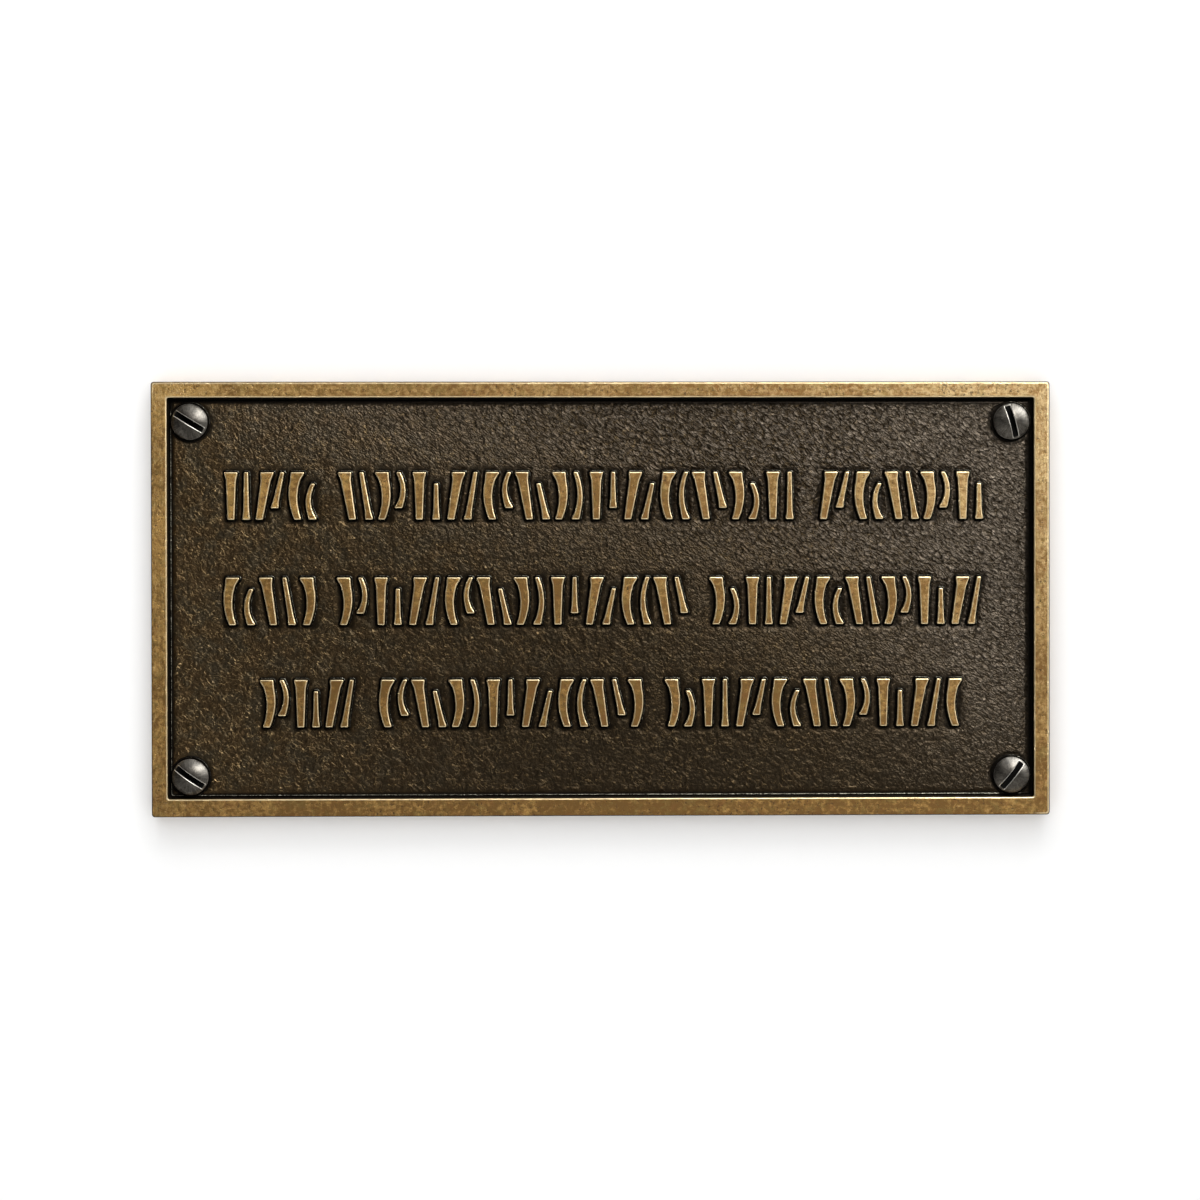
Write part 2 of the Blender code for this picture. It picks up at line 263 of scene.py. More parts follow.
def bronzeMaterial():
    look = bronzeLook
    material, wire, place = startMaterial("agedBronze")
    rub, edge = markOf(wire, "rub"), markOf(wire, "edge")
    clouds = noiseAt(wire, place, 0.05, 4.0, 0.6)
    blotches = noiseAt(wire, place, 0.60, 5.0, 0.72, 0.3)
    tints = noiseAt(wire, place, 0.33, 4.0, 0.7, 0.5)
    grain = noiseAt(wire, place, 2.2, 3.0, 0.7)
    specks = noiseAt(wire, place, 1.1, 3.0, 0.7, 0.3)
    # rubbing marks run along each rail: across on the long rails, upright on the short ones
    acrossMarks = noiseAt(wire, stretched(wire, place, 0.0, (0.30, 1.0, 1.0)), 1.1, 5.0, 0.8)
    uprightMarks = noiseAt(wire, stretched(wire, place, 0.0, (1.0, 1.0, 0.30)), 1.1, 5.0, 0.8)
    toRight, high = acrossPlate(wire, place)
    sideways = toRight.size() * (plate["width"] / 2)
    upright = sideways.between(look["uprightFrom"], look["uprightTo"])
    marks = acrossMarks * (1.0 - upright) + uprightMarks * upright
    # the middle of each long rail is less rubbed than the corners; painted light makes the top
    # lighter than the bottom, and the right rail lighter
    corner = toRight * toRight * (high * high * 0.15 + 0.36)
    rightRail = high.between(-1.0, 0.4) - high.between(0.75, 1.0) * 1.2
    rightRail = toRight.between(0.90, 0.97) * rightRail
    wearAndPaintedLight = corner + high * 0.13 - toRight * 0.06 + rightRail * 0.16 - 0.38
    # painted light: the strokes are lighter towards the upper right
    paintedLightOnStrokes = toRight.between(0.35, 0.8) * high.between(0.1, 0.5)
    paintedLightOnStrokes = paintedLightOnStrokes * (1.0 - high.between(0.80, 0.90))
    wearAndPaintedLight = wearAndPaintedLight + paintedLightOnStrokes * (1.0 - upright) * 0.26
    # painted sheen: the golden tone paler and greyer towards the upper right
    paintedSheenShare = (toRight * 0.5 + high * 0.5 + (blotches - 0.5)).clamped()
    tone = look["rubbedShare"] + (blotches - 0.5) * 3.6 + (clouds - 0.5) * 1.8 + (marks - 0.5) * 1.8
    tone = (tone + wearAndPaintedLight).clamped()
    golden = tone.mix(look["rubbedDull"], (paintedSheenShare * 0.7).mix(look["rubbed"], look["paintedSheenColour"]))
    golden = (tints.between(0.52, 0.66) * 0.45).mix(golden, look["olive"])
    golden = ((1.0 - tints).between(0.54, 0.68) * 0.45).mix(golden, look["russet"])
    scratched = (marks * 0.5 + grain * 0.5 + wearAndPaintedLight * 0.2).between(0.53, 0.68)
    golden = (scratched * 0.55).mix(golden, look["rubbedPale"])
    pits = (specks + (clouds - 0.5) * 0.2).between(0.57, 0.67)
    golden = (pits * 0.7).mix(golden, look["pit"])
    edgeWear = (edge * (0.45 + marks * 1.0)).between(0.30, 1.0)
    worn = edgeWear.mix(golden, look["wornEdge"])
    # low down the patina stays, but for painted glints on small ridges
    paintedGlints = (edge * (blotches * 0.7 + specks * 1.5)).between(0.75, 1.30)
    height = (rub + (grain - 0.5) * 0.25).between(0.30, 0.75)
    colour = height.mix(paintedGlints.mix(look["patina"], look["paintedGlintColour"]), worn)
    smoothed = edgeWear * (look["roughness"] - look["edgeRoughness"])
    roughness = look["roughness"] - smoothed + (grain - 0.5) * 0.2
    relief = blotches * 0.5 + grain * 0.3 + marks * 0.4 - pits * 0.8
    coat = {"Coat Weight": height * look["coat"], "Coat Roughness": look["coatRoughness"]}
    endMaterial(wire, look, colour, roughness, relief, **coat)
    return material


# Ground: dark brown patina whose wrinkles catch the light, with a painted grey sheen towards the
# upper right and painted shade across the middle and low down

groundLook = {
    "cornerPatinaAndShade": rgb(15, 12, 8),
    "dark": rgb(42, 34, 23),
    "warm": rgb(74, 58, 37),
    "olive": rgb(66, 57, 41),
    "paintedSheenGrey": rgb(100, 91, 80),
    "hair": rgb(176, 148, 104),
    "coolHair": rgb(150, 140, 124),
    "metallic": 0.94, "roughness": 0.40, "bumpStrength": 1.0, "bumpDepth": 1.5,
    "slantDegrees": -36.0, "foldLength": 0.50, "bodyShare": 0.72,
    # the lines' scale and width, and the scale of their gaps
    "windingHairs": (0.40, 0.024, 0.50),
    "longHairs": (0.28, 0.020, 0.42),
    "shortHairs": (0.45, 0.026, 0.60),
}


def bent(wire, place, scale, amount):
    # the place moved sideways by a noise, so that what is drawn on it winds
    push = wire.node("ShaderNodeTexNoise", {"noise_dimensions": "3D"},
                     {"Vector": place, "Scale": scale, "Detail": 2.0}, output="Color")
    centred = wire.vector("SUBTRACT", {0: push, 1: (0.5, 0.5, 0.5)})
    return wire.vector("MULTIPLY_ADD", {0: centred, 1: (amount,) * 3, 2: place})


def hairs(wire, place, scale, width, gateScale):
    # thin winding lines where a noise crosses its middle, broken into short bits by another noise
    hill = noiseAt(wire, place, scale, 1.0, 0.4, 0.25)
    line = 1.0 - (hill - 0.5).size() / width
    return line.clamped() * noiseAt(wire, place, gateScale, 1.0).between(0.50, 0.56)


def groundMaterial():
    look = groundLook
    material, wire, place = startMaterial("darkPatina")
    openness, crest, slant = markOf(wire, "openness"), markOf(wire, "crest"), markOf(wire, "slant")
    busy = markOf(wire, "busy")
    patches = noiseAt(wire, place, 0.16, 4.0, 0.6)
    fine = noiseAt(wire, place, 1.3, 3.0, 0.7, 0.3)
    # towards the upper right the short folds run down to the right, elsewhere they run anywhere
    folded = stretched(wire, place, look["slantDegrees"], (look["foldLength"], 1.0, 1.0))
    directed = (slant * 1.3 - 0.1).clamped()
    folds = noiseAt(wire, bent(wire, folded, 0.30, 2.0), 0.95, 2.0, 0.6, 0.1) * directed
    folds = folds + noiseAt(wire, place, 0.80, 2.0, 0.6, 0.3) * (1.0 - directed)
    # between the folds, creases: the borders of stretched cells on bent ground
    cells = wire.node("ShaderNodeTexVoronoi", {"feature": "DISTANCE_TO_EDGE"},
                      {"Vector": bent(wire, folded, 0.7, 1.6), "Scale": 0.66})
    pillows = cells.between(0.0, 0.22)
    lines = hairs(wire, bent(wire, place, 0.30, 2.0), *look["windingHairs"])
    lines = lines.larger(hairs(wire, place, *look["longHairs"]))
    lines = lines.larger(hairs(wire, place, *look["shortHairs"]) * 0.8) * (1.0 - slant * 0.5) * busy
    toRight, high = acrossPlate(wire, place)
    # towards the right the hairs are greyer, the ground takes more painted sheen, and low down it
    # takes more painted shade
    cool = toRight.between(0.35, 1.0)
    body = patches.between(0.40, 0.62).mix(look["warm"], look["olive"])
    # painted sheen: greyer and lighter towards the upper right and the right
    body = (slant + cool * 0.55 + (patches - 0.5) * 0.6).clamped().mix(body, look["paintedSheenGrey"])
    # painted shade: darker across the middle, low down, towards the right and beside the right
    # rail, where the rail's shadow falls
    shade = (1.0 - toRight * toRight) * (0.9 - high * 0.25) * 0.58
    shade = shade + toRight * (0.6 - high * 0.6) * 0.14
    shade = shade + cool * (0.29 - slant * 0.31) + toRight.between(0.80, 0.98) * 0.12
    depth = look["bodyShare"] + (folds - 0.5) * (0.3 + slant * 0.9)
    depth = depth + (fine - 0.5) * (0.20 - slant * 0.05) + (crest - 0.3) * (0.12 + slant * 0.24)
    depth = depth + (pillows - 0.7) * (slant * 0.3 + 0.1) - shade
    body = depth.clamped().mix(look["dark"], body)
    # darkest beside the rim, the screws and the strokes: patina kept in the corners, and painted
    # shade
    body = (openness * 1.7 + fine * 0.3).clamped().mix(look["cornerPatinaAndShade"], body)
    share = ((lines * 0.42 + crest * (1.0 - slant) * 0.04) * openness * (1.0 - shade)).clamped()
    colour = share.mix(body, cool.mix(look["hair"], look["coolHair"]))
    relief = lines * 0.13 + fine * (0.11 - slant * 0.05) + folds * (0.20 + slant * 1.0)
    relief = relief + pillows * (0.02 + slant * 0.17)
    endMaterial(wire, look, colour, look["roughness"] - share * 0.08, relief * openness)
    return material


# Steel: blackened and brushed from the middle outwards, bare on the slot's edges, with a painted
# highlight towards the upper right

steelLook = {
    "dark": rgb(42, 39, 35),
    "mid": rgb(114, 109, 101),
    "worn": rgb(232, 228, 218),
    "slotDark": rgb(10, 9, 8),
    "metallic": 0.9, "roughness": 0.43, "bumpStrength": 0.6, "bumpDepth": 0.14, "brushScale": 13.0,
}


def steelMaterial():
    look = steelLook
    material, wire, place = startMaterial("blackenedSteel")
    edge, darkening = markOf(wire, "edge"), markOf(wire, "darkening")
    blotches = noiseAt(wire, place, 0.5, 4.0, 0.6, 0.4)
    grain = noiseAt(wire, place, 3.0, 3.0, 0.65)
    # brushing from the middle outwards: a noise on the direction, hardly changing with the distance
    outward = markOf(wire, "outward")
    spokes = {0: markOf(wire, "outX"), 1: markOf(wire, "outZ"), 2: outward * 0.12}
    spokes = wire.node("ShaderNodeCombineXYZ", {}, spokes)
    brushed = noiseAt(wire, spokes, look["brushScale"], 3.0, 0.7) - 0.5
    brushed = 0.5 + brushed * (0.25 + outward * 0.75)
    lightness = (blotches * 0.4 + grain * 0.2 + brushed * 0.4).between(0.36, 0.72)
    skin = lightness.mix(look["dark"], look["mid"])
    skin = (markOf(wire, "paintedHighlight") * (brushed * 1.8 - 0.1)).clamped().mix(skin, look["worn"])
    worn = (edge * (0.5 + grain * 0.7)).between(0.35, 0.95).mix(skin, look["worn"])
    colour = darkening.mix(worn, look["slotDark"])
    roughness = look["roughness"] + (brushed - 0.5) * 0.5 + darkening * 0.4
    endMaterial(wire, look, colour, roughness, blotches * 0.5 + grain * 0.3 + brushed * 0.3)
    return material


# The plate: rim, sides and back

plate = {
    "width": 300.0, "height": 145.0, "cornerRadius": 1.0,
    "ground": 5.5, "rimRise": 2.5,
    "rimWidth": 5.5, "rimWidthBottom": 6.2, "pocketRadius": 0.8, "draft": 0.3,
    "holeRadius": 3.3, "holeChamfer": 0.12, "holeInsetSide": 12.7, "holeInsetEnd": 13.3,
    "edgeRounding": 0.36, "dents": 0.14, "faceSwell": 0.05,
    # the back's grid: a square of cells round each hole, and the lines from one square to the next
    "holePatch": 8.0, "patchCells": 8, "middleLines": (66, 30),
}
pocketLeft = -plate["width"] / 2 + plate["rimWidth"]
pocketRight = -pocketLeft
pocketBottom = -plate["height"] / 2 + plate["rimWidthBottom"]
pocketTop = plate["height"] / 2 - plate["rimWidth"]
rimFace = plate["ground"] + plate["rimRise"]
screwX = plate["width"] / 2 - plate["holeInsetSide"]
screwZ = plate["height"] / 2 - plate["holeInsetEnd"]
screwPlaces = {
    "screw_top_left": (-screwX, screwZ, -31.5),
    "screw_top_right": (screwX, screwZ, 106.0),
    "screw_bottom_left": (-screwX, -screwZ, -35.0),
    "screw_bottom_right": (screwX, -screwZ, 51.7),
}


def backLines(halfLength, hole, middleCount):
    # grid lines along one direction of the back: finer across the square round each hole
    patch = plate["holePatch"]
    steps = np.linspace(-patch, patch, plate["patchCells"] + 1)
    between = np.linspace(-hole + patch, hole - patch, middleCount)
    return np.concatenate([[-halfLength], -hole + steps, between[1:-1], hole + steps, [halfLength]])


def frameRings(left, right, bottom, top, radius, xLines, zLines, cornerCount=6):
    # each row goes once round a rounded rectangle: a quarter circle at each corner, then points
    # along the side, spaced as the back's grid lines are
    acrossShare = (xLines[1:-1] - xLines[0]) / (xLines[-1] - xLines[0])
    upShare = (zLines[1:-1] - zLines[0]) / (zLines[-1] - zLines[0])
    # each corner's place, the way in from it, its first angle and the spacing of the side after it
    sides = ((right, bottom, -1, 1, -90.0, upShare),
             (right, top, -1, -1, 0.0, 1 - acrossShare[::-1]),
             (left, top, 1, -1, 90.0, 1 - upShare[::-1]),
             (left, bottom, 1, 1, 180.0, acrossShare))
    fans = []
    for x, z, inX, inZ, start, _ in sides:
        angle = np.radians(start + np.linspace(0.0, 90.0, cornerCount))
        fanX = (x + inX * radius)[:, None] + radius[:, None] * np.cos(angle)
        fanZ = (z + inZ * radius)[:, None] + radius[:, None] * np.sin(angle)
        fans.append(np.stack([fanX, fanZ], axis=-1))
    rows = []
    for turn in range(4):
        start, end, share = fans[turn][:, -1:], fans[(turn + 1) % 4][:, :1], sides[turn][5]
        rows += [fans[turn], start + (end - start) * share[None, :, None]]
    return np.concatenate(rows, axis=1)


def makeRimAndBack():
    rounding, draft, face = plate["edgeRounding"], plate["draft"], rimFace
    inner, ground = plate["rimWidth"], plate["ground"]
    halfWidth, halfHeight = plate["width"] / 2, plate["height"] / 2
    corner = plate["cornerRadius"]
    # the section from the back, round the outer edge, over the rim's face and down to a small bead
    # on the ground: distance in from the outer edge, rise, rub, edge wear (on the bead, a painted
    # glint)
    section = np.array([
        [1.50, 0.00, 0.45, 0.0],
        [0.30, 0.00, 0.45, 0.1],
        [0.09, 0.09, 0.50, 0.3],
        [0.00, 0.30, 0.55, 0.1],
        [0.00, 2.80, 0.62, 0.0],
        [0.00, 5.30, 0.70, 0.0],
        [0.00, face - rounding * 1.5, 0.60, 0.0],
        [0.00, face - rounding, 0.20, 0.0],
        [rounding * 0.13, face - rounding * 0.5, 0.20, 0.0],
        [rounding * 0.55, face - rounding * 0.11, 0.30, 0.0],
        [rounding, face, 1.0, 0.9],
        [rounding + 0.28, face, 1.0, 0.9],
        [rounding + 0.55, face, 1.0, 0.0],
        [1.40, face, 1.0, 0.0],
        [2.60, face - 0.02, 1.0, 0.0],
        [3.90, face - 0.01, 1.0, 0.0],
        [inner - draft - rounding - 0.25, face, 1.0, 0.1],
        [inner - draft - rounding * 0.8, face, 1.0, 0.75],
        [inner - draft - rounding * 0.4, face - rounding * 0.12, 1.0, 1.0],
        [inner - draft - rounding * 0.1, face - rounding * 0.45, 1.0, 1.0],
        [inner - draft, face - rounding, 0.9, 0.7],
        [inner - draft * 0.8, face - 0.75, 0.55, 0.1],
        [inner - draft * 0.3, ground + 0.70, 0.2, 0.0],
        [inner - 0.02, ground + 0.12, 0.05, 0.0],
        [inner + 0.15, ground - 0.02, 0.0, 0.0],
        [inner + 0.50, ground - 0.02, 0.0, 0.0],
        [inner + 0.66, ground + 0.08, 0.0, 0.4],
        [inner + 0.84, ground + 0.15, 0.1, 1.0],
        [inner + 1.04, ground + 0.08, 0.0, 0.4],
        [inner + 1.30, ground - 0.12, 0.1, 0.0],
    ])
    inset, rise, rub, edge = section.T
    # the corners' radius: the plate's own up to its edge, the pocket's from the rim's face on
    radius = np.full(len(section), plate["pocketRadius"])
    radius[:10] = corner - np.array([corner, 0.3, 0.1, 0, 0, 0, 0, 0, 0, 0.1])
    xLines = backLines(halfWidth - section[0, 0], screwX, plate["middleLines"][0])
    zLines = backLines(halfHeight - section[0, 0], screwZ, plate["middleLines"][1])
    # the bottom rail is wider
    lowInset = inset + (plate["rimWidthBottom"] - inner) * smoothStep(inset, 0.5, inner)
    rings = frameRings(inset - halfWidth, halfWidth - inset,
                       lowInset - halfHeight, halfHeight - inset, radius, xLines, zLines)
    x, z = rings[..., 0], rings[..., 1]
    # worn edges wander inwards a little, and the rim's face isn't quite flat
    wander = hills(x, z, 5.0, 3) * 0.6 + hills(x, z, 1.9, 4) * 0.4
    push = plate["dents"] * (wander * edge[:, None]) ** 2
    x = x - np.sign(x) * push * (np.abs(x) > halfWidth - inner)
    z = z - np.sign(z) * push * (np.abs(z) > halfHeight - inner)
    onFace = smoothStep(rise, ground + 0.5, face)[:, None]
    height = rise[:, None] - onFace * (plate["faceSwell"] * hills(x, z, 9.0, 5) + push * 0.4)
    rows, columns = x.shape
    points = [toWorld(x, height, z).reshape(-1, 3)]
    quads = [gridQuads(rows, columns, closed=True)]
    # painted shade: the bead's painted glint is dimmed below the top rail and beside the right one,
    # where the rails' shadow falls
    paintedRimShadow = smoothStep(np.maximum(x - pocketRight + 3.0, z - pocketTop + 3.0), 0.0, 1.5)
    edge = np.where((inset > inner)[:, None], edge[:, None] * (1 - 0.75 * paintedRimShadow), edge[:, None])
    # painted highlight: the outer edge is lighter above and on the right
    paintedHighlightTopRight = smoothStep(np.maximum(x - pocketRight, z - pocketTop), 0.0, 2.0)
    edge = np.where((inset < 1.4)[:, None], edge * (0.35 + 0.65 * paintedHighlightTopRight), edge)
    marks = {"rub": [np.repeat(rub, columns)], "edge": [edge.ravel()]}

    # the flat back on its grid lines, without the squares round the holes
    gridX, gridZ = np.meshgrid(xLines, zLines)
    start = rows * columns
    cells = gridQuads(len(zLines), len(xLines), start)[:, ::-1]
    middleX = ((gridX[:-1, :-1] + gridX[1:, 1:]) / 2).ravel()
    middleZ = ((gridZ[:-1, :-1] + gridZ[1:, 1:]) / 2).ravel()
    patch = plate["holePatch"]
    inHole = (np.abs(np.abs(middleX) - screwX) < patch) & (np.abs(np.abs(middleZ) - screwZ) < patch)
    points.append(toWorld(gridX, 0.0 * gridX, gridZ).reshape(-1, 3))
    quads.append(cells[~inHole])
    marks["rub"].append(np.full(gridX.size, 0.45))
    marks["edge"].append(np.zeros(gridX.size))

    # from each square in to its round hole and along the hole's wall to the seat
    steps = np.linspace(-1.0, 1.0, plate["patchCells"] + 1)[:-1]
    ones = np.ones(plate["patchCells"])
    square = patch * np.stack([np.concatenate([ones, -steps, -ones, steps]),
                               np.concatenate([steps, ones, -steps, -ones])], axis=-1)
    circle = square / np.linalg.norm(square, axis=1, keepdims=True)
    # share of the way out to the square, or distance in from the circle, then rise, rub, edge wear
    chamfer = plate["holeChamfer"]
    wall = np.array([
        [1.0, 0.0, 0.45, 0.0],
        [0.4, 0.0, 0.45, 0.0],
        [0.0, 0.0, 0.45, 0.4],
        [-chamfer, chamfer, 0.4, 0.2],
        [-chamfer, 2.5, 0.1, 0.0],
        [-chamfer, 5.7, 0.0, 0.0],
    ])
    share = np.clip(wall[:, 0], 0.0, 1.0)[:, None, None]
    ring = (plate["holeRadius"] + chamfer + np.minimum(wall[:, 0], 0.0))[:, None, None]
    ring = ring * circle * (1.0 - share) + square * share
    for holeX, holeZ, _ in screwPlaces.values():
        start = sum(len(part) for part in points)
        hole = toWorld(holeX + ring[..., 0], wall[:, 1:2], holeZ + ring[..., 1])
        points.append(hole.reshape(-1, 3))
        quads.append(gridQuads(len(wall), len(circle), start, closed=True)[:, ::-1])
        marks["rub"].append(np.repeat(wall[:, 2], len(circle)))
        marks["edge"].append(np.repeat(wall[:, 3], len(circle)))
    marks = {name: np.concatenate(parts) for name, parts in marks.items()}
    meshPiece("rimAndBack", np.concatenate(points), np.concatenate(quads), marks,
              bronze, ["plaque"])


# Rows of raised strokes

rowPlan = {
    "height": 16.2, "relief": 1.6, "marginTop": 24.4, "marginBottom": 23.4, "middleDrop": 0.5,
    # left and right margin, and the middles of the gaps between the groups
    "top": (18.3, 15.1, (-90.6, 69.4)),
    "middle": (18.0, 16.4, (-91.6, 32.8)),
    "bottom": (30.7, 24.1, (-78.3, 17.8)),
    "groupGap": 7.0,
}
strokePlan = {
    "pitch": 5.9, "pairClosing": 0.3, "broad": 2.7, "fine": 1.5, "shortening": 3.8,
    "taper": 0.22, "flare": 1.3, "flareLength": 2.86, "lean": 2.6, "bow": 1.6,
    "chamfer": 0.3, "rounding": 0.25, "rubbedInset": 0.5,
}


def strokesOfGroup(left, right, foot, firstPair):
    # one row for each stroke: middle x, foot, top, width, taper, lean and bow; pairs of a broad and
    # a fine stroke fill the group
    plan = strokePlan
    reach = (plan["broad"] + plan["lean"]) / 2
    span = right - left - 2 * reach
    index = np.arange(round(span / plan["pitch"]) + 1)
    pair = firstPair + index // 2
    isFine = index % 2 == 1
    lean = np.array([0.0, 1.0, 0.0, -1.0, 0.0])[pair % 5] * plan["lean"]
    bow = np.array([0.0, 0.0, -1.0, 0.0, 1.0])[pair % 5] * plan["bow"]
    x = left + reach + span / (len(index) - 1) * index - isFine * plan["pairClosing"]
    lift = isFine * (pair % 3 == 1) * plan["shortening"]
    drop = isFine * (pair % 3 == 2) * plan["shortening"]
    bottom = foot + plan["chamfer"] + lift
    top = foot + rowPlan["height"] - plan["chamfer"] - drop
    width = np.where(isFine, plan["fine"], plan["broad"])
    taper = np.where(isFine, -plan["taper"], plan["taper"])
    return np.stack([x, bottom, top, width, taper, lean, bow], axis=-1)


def allStrokes():
    topFoot = pocketTop - rowPlan["marginTop"] - rowPlan["height"]
    bottomFoot = pocketBottom + rowPlan["marginBottom"]
    middleFoot = (topFoot + bottomFoot) / 2 - rowPlan["middleDrop"]
    rows = (("top", topFoot, 0), ("middle", middleFoot, 2), ("bottom", bottomFoot, 4))
    half = rowPlan["groupGap"] / 2
    strokes = []
    for name, foot, firstPair in rows:
        marginLeft, marginRight, gaps = rowPlan[name]
        starts = [pocketLeft + marginLeft] + [gap + half for gap in gaps]
        ends = [gap - half for gap in gaps] + [pocketRight - marginRight]
        count = 0
        for left, right in zip(starts, ends):
            group = strokesOfGroup(left, right, foot, firstPair + count // 2)
            count += len(group)
            strokes.append(group)
    return np.concatenate(strokes)


def strokeSides(strokes, station, inset):
    # the middle line leans straight or bows as a parabola; the half width grows towards the heavy
    # end and flares there
    x, foot, top, width, taper, lean, bow = (column[:, None] for column in strokes.T)
    height = top - foot
    t = (inset + (height - 2 * inset) * station) / height
    fromMiddle = 2 * t - 1
    middle = x + lean / 2 * fromMiddle + bow * (0.5 - fromMiddle ** 2)
    fromHeavyEnd = np.where(taper > 0, 1 - t, t) * height
    atHeavyEnd = 1 - smoothStep(fromHeavyEnd, 0.0, strokePlan["flareLength"])
    flare = 1 + (strokePlan["flare"] - 1) * atHeavyEnd
    halfWidth = width / 2 * (1 + taper * fromMiddle) * flare - inset
    return middle, halfWidth, foot + t * height


def makeStrokes(strokes):
    station = np.array([0.0, 0.04, 0.09, 0.15, 0.32, 0.5, 0.68, 0.85, 0.91, 0.96, 1.0])
    rounding = strokePlan["rounding"]
    # the section outwards from the face's outline: distance, rise above the ground, rub, edge wear
    # (on the little ridge, a painted glint)
    section = np.array([
        [-0.25, 1.60, 1.0, 0.55],
        [-0.11, 1.585, 1.0, 1.0],
        [0.01, 1.52, 1.0, 1.0],
        [0.08, 1.42, 1.0, 0.8],
        [0.13, 1.22, 0.70, 0.15],
        [0.22, 0.30, 0.10, 0.0],
        [0.29, 0.02, 0.0, 0.0],
        [0.38, -0.04, 0.0, 0.0],
        [0.50, 0.06, 0.0, 0.4],
        [0.62, 0.17, 0.1, 1.0],
        [0.76, 0.08, 0.0, 0.3],
        [1.02, -0.14, 0.0, 0.0],
    ])
    middle, halfWidth, z = strokeSides(strokes, station, rounding)
    leftX, rightX = middle - halfWidth, middle + halfWidth
    leftSlope = np.arctan2(np.gradient(z, axis=1), np.gradient(leftX, axis=1)) + np.pi / 2
    rightSlope = np.arctan2(np.gradient(z, axis=1), np.gradient(rightX, axis=1)) - np.pi / 2
    fan = np.linspace(0.0, 1.0, 5)[None, 1:]

    def corner(x, height, start, end):
        turn = start[:, None] + (end - start)[:, None] * fan
        return tuple(np.broadcast_arrays(x[:, None], height[:, None], turn))

    up = np.full(len(strokes), np.pi / 2)
    runs = [
        (leftX, z, leftSlope),
        corner(leftX[:, -1], z[:, -1], leftSlope[:, -1], up),
        corner(rightX[:, -1], z[:, -1], up, rightSlope[:, -1]),
        (rightX[:, ::-1], z[:, ::-1], rightSlope[:, ::-1]),
        corner(rightX[:, 0], z[:, 0], rightSlope[:, 0], -up),
        corner(leftX[:, 0], z[:, 0], -up, leftSlope[:, 0] - 2 * np.pi),
    ]
    # an end's second fan starts at its own corner, so that the end between the two is straight
    runs[2] = tuple(np.concatenate([first[:, None], rest], axis=1)
                    for first, rest in zip((rightX[:, -1], z[:, -1], up), runs[2]))
    runs[5] = tuple(np.concatenate([first[:, None], rest[:, :-1]], axis=1)
                    for first, rest in zip((leftX[:, 0], z[:, 0], -up), runs[5]))
    coreX, coreZ, turn = (np.concatenate(parts, axis=1) for parts in zip(*runs))
    out = rounding + section[:, 0]
    ringX = coreX[:, None] + out[None, :, None] * np.cos(turn)[:, None]
    ringZ = coreZ[:, None] + out[None, :, None] * np.sin(turn)[:, None]
    rise = np.broadcast_to(section[None, :, 1, None], ringX.shape)

    # inside the rounded edge, the face's own outline further in, where no point turns a corner
    innerMiddle, innerHalf, innerZ = strokeSides(strokes, station, strokePlan["rubbedInset"])
    innerHalf = np.maximum(innerHalf, 0.02)
    each = [run[0].shape[1] for run in runs]
    left, right = innerMiddle - innerHalf, innerMiddle + innerHalf

    def spread(column, count):
        return np.repeat(column[:, None], count, axis=1)

    faceX = np.concatenate([
        left, spread(left[:, -1], each[1]), spread(right[:, -1], each[2]),
        right[:, ::-1], spread(right[:, 0], each[4]), spread(left[:, 0], each[5]),
    ], axis=1)
    faceZ = np.concatenate([
        innerZ, spread(innerZ[:, -1], each[1] + each[2]),
        innerZ[:, ::-1], spread(innerZ[:, 0], each[4] + each[5]),
    ], axis=1)
    ringX = np.concatenate([faceX[:, None], ringX], axis=1)
    ringZ = np.concatenate([faceZ[:, None], ringZ], axis=1)
    rise = np.concatenate([np.full_like(faceX[:, None], rowPlan["relief"]), rise], axis=1)
    rub = np.concatenate([[1.0], section[:, 2]])
    edge = np.concatenate([[0.0], section[:, 3]])
    count, rings, columns = ringX.shape
    rise = plate["ground"] + rise
    points = toWorld(ringX, rise, ringZ).reshape(-1, 3)
    oneStroke = gridQuads(rings, columns, closed=True)
    across = np.arange(len(station))
    rightIndex = len(station) + each[1] + each[2] + len(station) - 1 - across
    face = np.stack([across[:-1], across[1:], rightIndex[1:], rightIndex[:-1]], axis=-1)
    oneStroke = np.concatenate([oneStroke[:, ::-1], face[:, ::-1]])
    # painted highlight: the glint on the little ridge beside a stroke is kept to its upper right
    paintedGlintUpperRight = 0.15 + 0.85 * smoothStep(np.cos(turn - np.pi / 4), -0.1, 0.6)[:, None]
    isRidge = np.concatenate([[False], section[:, 0] > 0.4])[None, :, None]
    edge = np.where(isRidge, edge[None, :, None] * paintedGlintUpperRight, edge[None, :, None] + 0 * ringX)
    marks = {"rub": np.tile(np.repeat(rub, columns), count), "edge": edge.ravel()}
    meshPiece("raisedStrokes", points, copiesOf(oneStroke, count, rings * columns), marks,
              bronze, ["plaque"], smoothAngle=60.0)


# The sunk ground with its wrinkled skin

groundPlan = {
    "cell": 0.33, "strips": 4, "underRim": 0.15, "sink": 0.05,
    "wrinkle": 0.21, "fineWrinkle": 0.14, "scales": 0.56, "pebble": 0.16, "swell": 0.30,
    "slantDegrees": -36.0, "patchSize": 10.0, "calm": 0.45,
    "besideScrew": 0.25, "besideStroke": 0.12,
}


